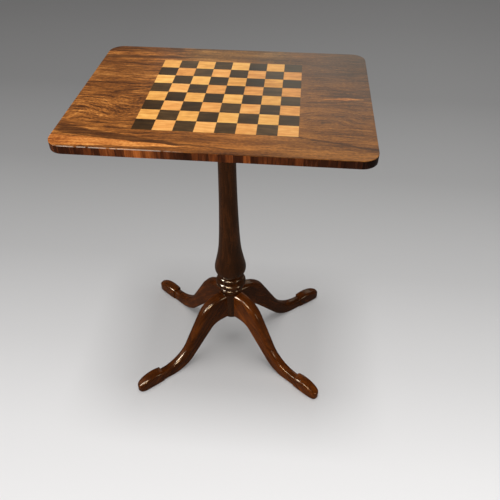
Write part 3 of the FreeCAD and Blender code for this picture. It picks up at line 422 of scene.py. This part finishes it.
def polished_wood(name, along, across, side, dark, middle, light, shine=0.34, rough=0.12):
    """French-polished mahogany, its grain running along one direction."""
    f = Finish(name)
    along, across, side = (f.x * way[0] + f.y * way[1] + f.z * way[2]
                           for way in (along, across, side))
    drift = f.noise(along * 6.0, across * 9.0, side * 9.0, detail=2.0) - 0.5
    bent = across + drift * 0.018
    figure = f.noise(along * 14.0, bent * 30.0, side * 30.0, detail=3.0, rough=0.6)
    streaks = f.noise(along * 12.0, bent * 150.0, side * 150.0, detail=3.0, rough=0.6)
    lines = f.noise(along * 22.0, bent * 900.0, side * 900.0, detail=2.0)
    tone = figure * 0.34 + streaks * 0.32 + lines * 0.26 + 0.05
    wood = tone.ramp((0.34, dark), (0.52, middle), (0.72, light))
    pores = f.noise(along * 150.0, bent * 1500.0, side * 1500.0, detail=1.0).step(0.64, 0.74)
    wood = f.mix(pores * 0.4, wood, (0.006, 0.002, 0.001))
    relief = f.bump(lines * 0.3 - pores * 0.6, 0.04 * MM)
    smear = f.noise(f.x * 30.0, f.y * 30.0, f.z * 30.0, detail=3.0)
    return f.close(wood, smear * 0.12 + rough, relief, specular=shine, tint=(1.0, 0.86, 0.66))


def leg_polish(name, angle, tone):
    """Reddish mahogany, its grain sloping down the leg to the foot."""
    out_x, out_y = math.cos(angle), math.sin(angle)
    slope = math.sqrt(0.5)
    # The tone scales the colours: painted light and shade, so each leg gets a lighter or darker
    # copy of the same polish.
    dark, middle, light = (tuple(part * tone for part in colour) for colour in
                           ((0.015, 0.0032, 0.0004), (0.072, 0.0165, 0.0016),
                            (0.230, 0.056, 0.0050)))
    return polished_wood(name, (out_x * slope, out_y * slope, -slope),
                         (out_x * slope, out_y * slope, slope), (-out_y, out_x, 0.0),
                         dark, middle, light)


def plain_wood(name, dark, light, axis="x"):
    """Unpolished mahogany under the top, planed and waxed."""
    f = Finish(name)
    along, across = (f.x, f.y) if axis == "x" else (f.y, f.x)
    streaks = f.noise(along * 6.0, across * 140.0, f.z * 140.0, detail=4.0, rough=0.6)
    lines = f.noise(along * 20.0, across * 900.0, f.z * 900.0, detail=2.0)
    grime = f.noise(f.x * 12.0, f.y * 12.0, f.z * 12.0, detail=3.0)
    tone = streaks * 0.6 + lines * 0.25 + grime * 0.25
    wood = tone.ramp((0.36, dark), (0.72, light))
    pores = f.noise(along * 120.0, across * 1400.0, f.z * 1400.0, detail=1.0).step(0.62, 0.72)
    wood = f.mix(pores * 0.5, wood, tuple(part * 0.3 for part in dark))
    relief = f.bump(lines * 0.5 - pores, 0.10 * MM)
    return f.close(wood, grime * 0.2 + 0.48, relief)


def metal(name, dark, light, rough, scale):
    """Old metal with tarnish in soft clouds and fine specks."""
    f = Finish(name)
    cloud = f.noise(f.x * scale, f.y * scale, f.z * scale, detail=4.0, rough=0.6)
    fine = f.noise(f.x * scale * 14, f.y * scale * 14, f.z * scale * 14, detail=2.0)
    colour = (cloud * 0.8 + fine * 0.2).ramp((0.35, dark), (0.62, light))
    relief = f.bump(fine + cloud, 0.04 * MM)
    return f.close(colour, cloud * 0.3 + rough, relief, metallic=1.0)


def paint(material, *nodes):
    """Give a material to nodes of the frame."""
    for name in nodes:
        obj = NODES[name]
        obj.data.materials.clear()
        obj.data.materials.append(material)


def finish_nodes():
    paint(rosewood_sheet(), "top_veneer")
    paint(inlay("satinwood_squares", (0.50, 0.20, 0.036), (0.77, 0.375, 0.088),
                (0.93, 0.56, 0.165), (0.96, 0.83, 0.92), 0.20), "light_squares")
    paint(inlay("ebonised_squares", (0.022, 0.010, 0.003), (0.047, 0.023, 0.007),
                (0.105, 0.056, 0.020), (1.0, 1.0, 1.0), 0.26), "dark_squares")
    paint(cross_banding(), "edge_banding")
    paint(plain_wood("groundwork", (0.10, 0.040, 0.018), (0.30, 0.135, 0.060)), "top_board")
    paint(plain_wood("bearer_wood", (0.075, 0.028, 0.013), (0.24, 0.10, 0.045), "y"),
          "bearer_left", "bearer_right", "pivot_block")
    paint(plain_wood("beech", (0.38, 0.22, 0.11), (0.62, 0.42, 0.24), "y"), "tenon_wedge")
    paint(polished_wood("pillar_polish", (0, 0, 1), (1, 0, 0), (0, 1, 0), (0.009, 0.0025, 0.0006),
                        (0.026, 0.0072, 0.0016), (0.070, 0.020, 0.0042), shine=0.6, rough=0.07),
          "pillar")
    # Each leg's copy of the polish is lit or shaded by its tone: painted light and shade.
    for name, (angle, tone) in LEGS.items():
        paint(leg_polish(f"{name}_polish", math.radians(angle), tone), name)
    paint(metal("blackened_iron", (0.020, 0.018, 0.016), (0.055, 0.050, 0.046), 0.35, 90.0),
          "brace_plate", "pivot_pin_left", "pivot_pin_right")
    paint(metal("aged_brass", (0.32, 0.19, 0.060), (0.74, 0.51, 0.20), 0.16, 110.0),
          "catch_plate", "catch_case", "catch_bolt", "catch_knob", "keeper_plate")


# Screws --------------------------------------------------------------------------------------


def pick_faces(obj, test):
    """In edit mode, select only the faces whose middle and normal pass the test."""
    bpy.ops.mesh.select_all(action="DESELECT")
    mesh = bmesh.from_edit_mesh(obj.data)
    for face in mesh.faces:
        face.select_set(test(face.calc_center_median(), face.normal))
    bmesh.update_edit_mesh(obj.data)


def draw_out(length, taper=1.0):
    """Extrude the picked end face upwards and scale the new one."""
    bpy.ops.mesh.extrude_region_move(TRANSFORM_OT_translate={"value": (0.0, 0.0, length)})
    bpy.ops.transform.resize(value=(taper, taper, 1.0))


def cut_slot(screw, width, depth):
    """A driver's slot across the head. Its ends slope inwards."""
    for side in (-1, 1):
        pick_faces(screw, lambda middle, normal: normal.z < -0.9)
        bpy.ops.mesh.bisect(plane_co=(side * width / 2, 0.0, 0.0), plane_no=(1.0, 0.0, 0.0))
    pick_faces(screw, lambda middle, normal: normal.z < -0.9 and abs(middle.x) < width / 2)
    bpy.ops.mesh.extrude_region_move(TRANSFORM_OT_translate={"value": (0.0, 0.0, depth)})
    bpy.ops.transform.resize(value=(1.0, 0.7, 1.0))


def model_screw(shank, head, head_depth, length, slot):
    """A slotted, countersunk screw on the Z axis, its head at 0 and its point upwards."""
    root, tip = 0.8, 0.2                # of the thread and the point, in radii of the shank
    bpy.ops.object.select_all(action="DESELECT")
    bpy.ops.mesh.primitive_cylinder_add(vertices=SCREW_SIDES, radius=head, depth=head_depth,
                                        location=(0.0, 0.0, head_depth / 2))
    screw = bpy.context.object
    bpy.ops.object.mode_set(mode="EDIT")
    bpy.ops.mesh.select_mode(type="FACE")
    pick_faces(screw, lambda middle, normal: normal.z > 0.9)
    bpy.ops.transform.resize(value=(shank / head, shank / head, 1.0))
    body = length - head_depth - shank
    draw_out(body * SCREW_PLAIN)
    thread = body * (1.0 - SCREW_PLAIN)
    turns = int(thread / (shank * SCREW_THREAD))
    for _ in range(turns):
        draw_out(thread / turns / 2, root)
        draw_out(thread / turns / 2, 1.0 / root)
    draw_out(shank, tip)
    cut_slot(screw, slot, head_depth / 2)
    bpy.ops.object.mode_set(mode="OBJECT")
    bpy.ops.object.transform_apply(location=True, rotation=True, scale=True)
    bpy.ops.object.shade_smooth_by_angle(angle=math.radians(35))
    return screw


def drive_screws(node, body, material, size, places, facing=Matrix.Identity(4)):
    """Copies of one screw at their places, as one piece that stands for the node's screws."""
    model = model_screw(*size)
    copies = []
    for number, place in enumerate(places):
        screw = model.copy()
        screw.data = model.data.copy()
        bpy.context.scene.collection.objects.link(screw)
        # Each slot has stopped at another angle.
        stopped_at = Matrix.Rotation(math.radians(25 + 67 * number), 4, "Z")
        screw.matrix_world = Matrix.Translation(place) @ facing @ stopped_at
        copies.append(screw)
    bpy.data.objects.remove(model)
    bpy.ops.object.select_all(action="DESELECT")
    for screw in copies:
        screw.select_set(True)
    bpy.context.view_layer.objects.active = copies[0]
    bpy.ops.object.join()
    bpy.ops.object.transform_apply(location=True, rotation=True, scale=True)
    piece = bpy.context.object
    piece.name = f"slotted_{node}"
    piece.data.materials.append(material)
    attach(piece, body)
    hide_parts(node)


def inner_places(node, radius):
    """The lowest and highest place that a screw's axis has in a node's box."""
    low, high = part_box(node)
    return [low[i] + radius for i in range(3)], [high[i] - radius for i in range(3)]


def make_screws():
    steel = metal("steel_screws", (0.16, 0.15, 0.14), (0.42, 0.41, 0.39), 0.25, 220.0)
    brass = metal("brass_screws", (0.36, 0.21, 0.065), (0.78, 0.54, 0.21), 0.16, 260.0)

    low, high = inner_places("bearer_screws", BEARER_SCREW[1])
    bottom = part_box("bearer_screws")[0][2]
    places = [(x, y, bottom) for x in (low[0], high[0])
              for y in (low[1], (low[1] + high[1]) / 2, high[1])]
    drive_screws("bearer_screws", "top", steel, BEARER_SCREW, places)

    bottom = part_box("brace_screws")[0][2]
    places = [(0.0, 0.0, bottom)]
    for angle, _ in LEGS.values():
        way = math.radians(angle)
        places += [(reach * math.cos(way), reach * math.sin(way), bottom)
                   for reach in BRACE_REACHES]
    drive_screws("brace_screws", "base", steel, BRACE_SCREW, places)

    low, high = inner_places("catch_screws", BRASS_SCREW[1])
    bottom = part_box("catch_screws")[0][2]
    places = [(x, y, bottom) for x in (low[0], high[0]) for y in (low[1], high[1])]
    drive_screws("catch_screws", "top", brass, BRASS_SCREW, places)

    low, high = inner_places("keeper_screws", BRASS_SCREW[1])
    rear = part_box("keeper_screws")[1][1]
    places = [(x, rear, low[2]) for x in (low[0], high[0])]
    drive_screws("keeper_screws", "base", brass, BRASS_SCREW, places,
                 Matrix.Rotation(math.radians(90), 4, "X"))


# Spring --------------------------------------------------------------------------------------


def model_coil(radius, length):
    """A coil of round wire on the Z axis, its first turn starting at 0, with closed ends."""
    bpy.ops.object.select_all(action="DESELECT")
    bpy.ops.mesh.primitive_circle_add(vertices=SPRING_SIDES, radius=SPRING_WIRE,
                                      location=(radius, 0.0, 0.0),
                                      rotation=(math.radians(90), 0.0, 0.0))
    bpy.ops.object.transform_apply(location=True, rotation=True, scale=True)
    coil = bpy.context.object
    turns = length / SPRING_PITCH
    winding = coil.modifiers.new("winding", "SCREW")
    winding.axis = "Z"
    winding.angle = math.radians(360) * turns
    winding.screw_offset = length
    winding.steps = winding.render_steps = int(SPRING_STEPS * turns)
    winding.use_smooth_shade = True
    bpy.ops.object.modifier_apply(modifier=winding.name)
    bpy.ops.object.mode_set(mode="EDIT")
    bpy.ops.mesh.select_all(action="SELECT")
    bpy.ops.mesh.remove_doubles(threshold=0.001 * MM)
    bpy.ops.mesh.fill_holes(sides=0)
    bpy.ops.mesh.select_all(action="SELECT")
    bpy.ops.mesh.normals_make_consistent(inside=False)
    bpy.ops.object.mode_set(mode="OBJECT")
    return coil


def make_spring():
    """The catch's spring: a coil of round wire in the place of the node's spring, riding with the
    top.
    """
    low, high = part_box("catch_spring")
    middle = (low + high) / 2
    spring = model_coil((high.x - low.x) / 2 - SPRING_WIRE, high.y - low.y - 2 * SPRING_WIRE)
    spring.name = "catch_spring_coil"
    along_the_bolt = Matrix.Rotation(math.radians(-90), 4, "X")
    start = Matrix.Translation((middle.x, low.y + SPRING_WIRE, middle.z))
    spring.matrix_world = start @ along_the_bolt
    bpy.ops.object.transform_apply(location=True, rotation=True, scale=True)
    spring.data.materials.append(metal("spring_wire", (0.10, 0.10, 0.10), (0.28, 0.28, 0.29),
                                       0.25, 300.0))
    draw = next(joint for joint in frame["joints"] if joint["name"] == "catch_draw")
    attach(spring, "top")
    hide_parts("catch_spring")
    1.0 - draw["range_m"][1] / (high.y - low.y)
    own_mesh(spring)


# Stage ---------------------------------------------------------------------------------------


def floor_finish():
    """A plain floor with painted light: lighter in front of the table and grey behind it, where
    the studio light falls off, a little lighter to the right, and fading out.
    """
    f = Finish("studio_floor")
    # From 0, 3 m in front of the table, to 1 behind it.
    depth = (f.y * 0.96 + f.x * 0.03 + 3.0) / 6.3
    # Painted light: the floor's brightness across its depth stands in for the studio light
    # falling off.
    levels = ((0.0, 0.60), (0.25, 0.72), (0.40, 0.815), (0.427, 0.747), (0.467, 0.593),
              (0.52, 0.434), (0.60, 0.290), (0.70, 0.210), (0.84, 0.184), (0.933, 0.175))
    stops = ((place, tuple(level * part for part in FLOOR_TINT)) for place, level in levels)
    tone = depth.clamp().ramp(*stops)
    # Painted light: a little lighter towards the right.
    rightwards = f.x.lower(0.8).higher(-0.8) * 0.08 + 1.0
    tone = f.tint(1.0, tone, f.vector(rightwards, rightwards, rightwards))
    reach = (f.x * f.x + f.y * f.y) ** 0.5
    return f.close(tone, 0.6, specular=0.2, alpha=reach.step(FLOOR_GONE, FLOOR_WHOLE))


def make_floor():
    bpy.ops.object.select_all(action="DESELECT")
    bpy.ops.mesh.primitive_plane_add(size=60.0, location=(0.0, 0.0, 0.0))
    floor = bpy.context.object
    floor.name = "studio_floor"
    floor.data.materials.append(floor_finish())
    floor.visible_glossy = False
    return floor


def light_group(name, objects):
    """A set of objects that a light reaches, or that cast its shadows."""
    group = bpy.data.collections.new(name)
    for obj in objects:
        group.objects.link(obj)
    return group


def soft_light(name, place, target, size, power, colour, fills=True, shines=True, shadow=True,
               reaches=None, casters=None):
    """A soft box. It fills where it lights up surfaces, and shines where gloss shows it."""
    lamp = bpy.data.lights.new(name, "AREA")
    lamp.shape = "RECTANGLE"
    lamp.size, lamp.size_y = size
    lamp.energy = power
    lamp.color = colour
    lamp.use_shadow = shadow
    obj = bpy.data.objects.new(name, lamp)
    bpy.context.scene.collection.objects.link(obj)
    obj.visible_diffuse = fills
    obj.visible_glossy = shines
    if reaches:
        obj.light_linking.receiver_collection = reaches
    if casters:
        obj.light_linking.blocker_collection = casters
    aim = (Vector(target) - Vector(place)).to_track_quat("-Z", "Y")
    obj.matrix_world = Matrix.Translation(place) @ aim.to_matrix().to_4x4()


def make_lights(floor):
    legs = [NODES[name] for name in LEGS]
    stand = light_group("stand_and_edge", [NODES["pillar"], NODES["edge_banding"], *legs])
    pieces = [obj for obj in bpy.context.scene.objects if obj.type == "MESH" and obj != floor]
    table = light_group("table", pieces)
    ground = light_group("ground", [floor])
    pillar_and_legs = light_group("pillar_and_legs", [NODES["pillar"], *legs])
    soft_light("key", (-2.3, -1.9, 4.0), (0.0, 0.1, 0.2), (2.6, 2.6), 178, (1.0, 0.975, 0.95),
               shines=False, shadow=False, reaches=table)
    soft_light("side", (-2.6, -1.3, 1.5), (0.0, 0.0, 0.2), (0.7, 0.9), 40, (1.0, 0.94, 0.86),
               shadow=False, reaches=table)
    soft_light("floor_wash", (0.0, 0.1, 9.0), (0.0, 0.1, 0.0), (2.0, 2.0), 240,
               (1.0, 0.985, 0.97), shines=False, shadow=False, reaches=ground)
    soft_light("contact", (0.0, 0.1, 9.0), (0.0, 0.1, 0.0), (6.0, 6.0), 395,
               (1.0, 0.985, 0.97), shines=False, reaches=ground, casters=pillar_and_legs)
    soft_light("overhead", (0.0, 0.1, 6.0), (0.0, 0.1, 0.0), (1.35, 1.35), 112,
               (1.0, 0.985, 0.97), shines=False)
    soft_light("window", (-1.6, -0.7, 1.5), (0.0, 0.0, 0.25), (0.34, 1.10), 78,
               (0.97, 0.96, 0.96), fills=False, reaches=stand)
    soft_light("lamp", (-0.35, -1.7, 1.7), (0.0, 0.0, 0.25), (1.10, 0.35), 60,
               (1.0, 0.86, 0.66), fills=False, reaches=stand)
    soft_light("right", (2.4, -1.4, 0.9), (0.0, 0.0, 0.3), (0.5, 1.0), 16, (1.0, 0.90, 0.74),
               shadow=False, reaches=stand)
    soft_light("strip", (-0.7, -1.3, 2.2), (-0.1, -0.2, 0.7), (0.56, 0.16), 16,
               (0.97, 0.98, 1.0), fills=False, reaches=stand)
    soft_light("back_fill", (0.6, 2.6, 0.80), (0.0, 0.0, 0.45), (1.3, 1.0), 34,
               (1.0, 0.97, 0.93), shines=False, reaches=table)
    soft_light("sheen_wide", (0.30, 2.35, 1.50), (0.15, 0.1, 0.7), (2.1, 0.9), 2.9,
               (0.93, 1.0, 0.90), fills=False)
    soft_light("sheen_right", (0.62, 2.35, 1.70), (0.15, 0.1, 0.7), (1.5, 1.3), 3.4,
               (0.93, 1.0, 0.90), fills=False)
    world = bpy.data.worlds.new("studio")
    world.use_nodes = True
    background = world.node_tree.nodes["Background"]
    background.inputs["Color"].default_value = (1.0, 0.93, 0.84, 1.0)
    background.inputs["Strength"].default_value = 0.10
    bpy.context.scene.world = world


def make_camera():
    """A camera in front of the table and a little to its right, looking down on the top."""
    lens = bpy.data.cameras.new("camera")
    lens.sensor_width = CAMERA_SENSOR
    lens.lens = CAMERA_LENS
    camera = bpy.data.objects.new("camera", lens)
    bpy.context.scene.collection.objects.link(camera)
    ahead = math.cos(CAMERA_PITCH)
    way = Vector((math.sin(CAMERA_YAW) * ahead, math.cos(CAMERA_YAW) * ahead,
                  -math.sin(CAMERA_PITCH)))
    turn = way.to_track_quat("-Z", "Y").to_matrix().to_4x4()
    camera.matrix_world = Matrix.Translation(CAMERA_PLACE) @ turn
    bpy.context.scene.camera = camera


finish_nodes()
make_screws()
make_spring()
make_lights(make_floor())
make_camera()
bpy.context.scene.view_settings.view_transform = "Standard"
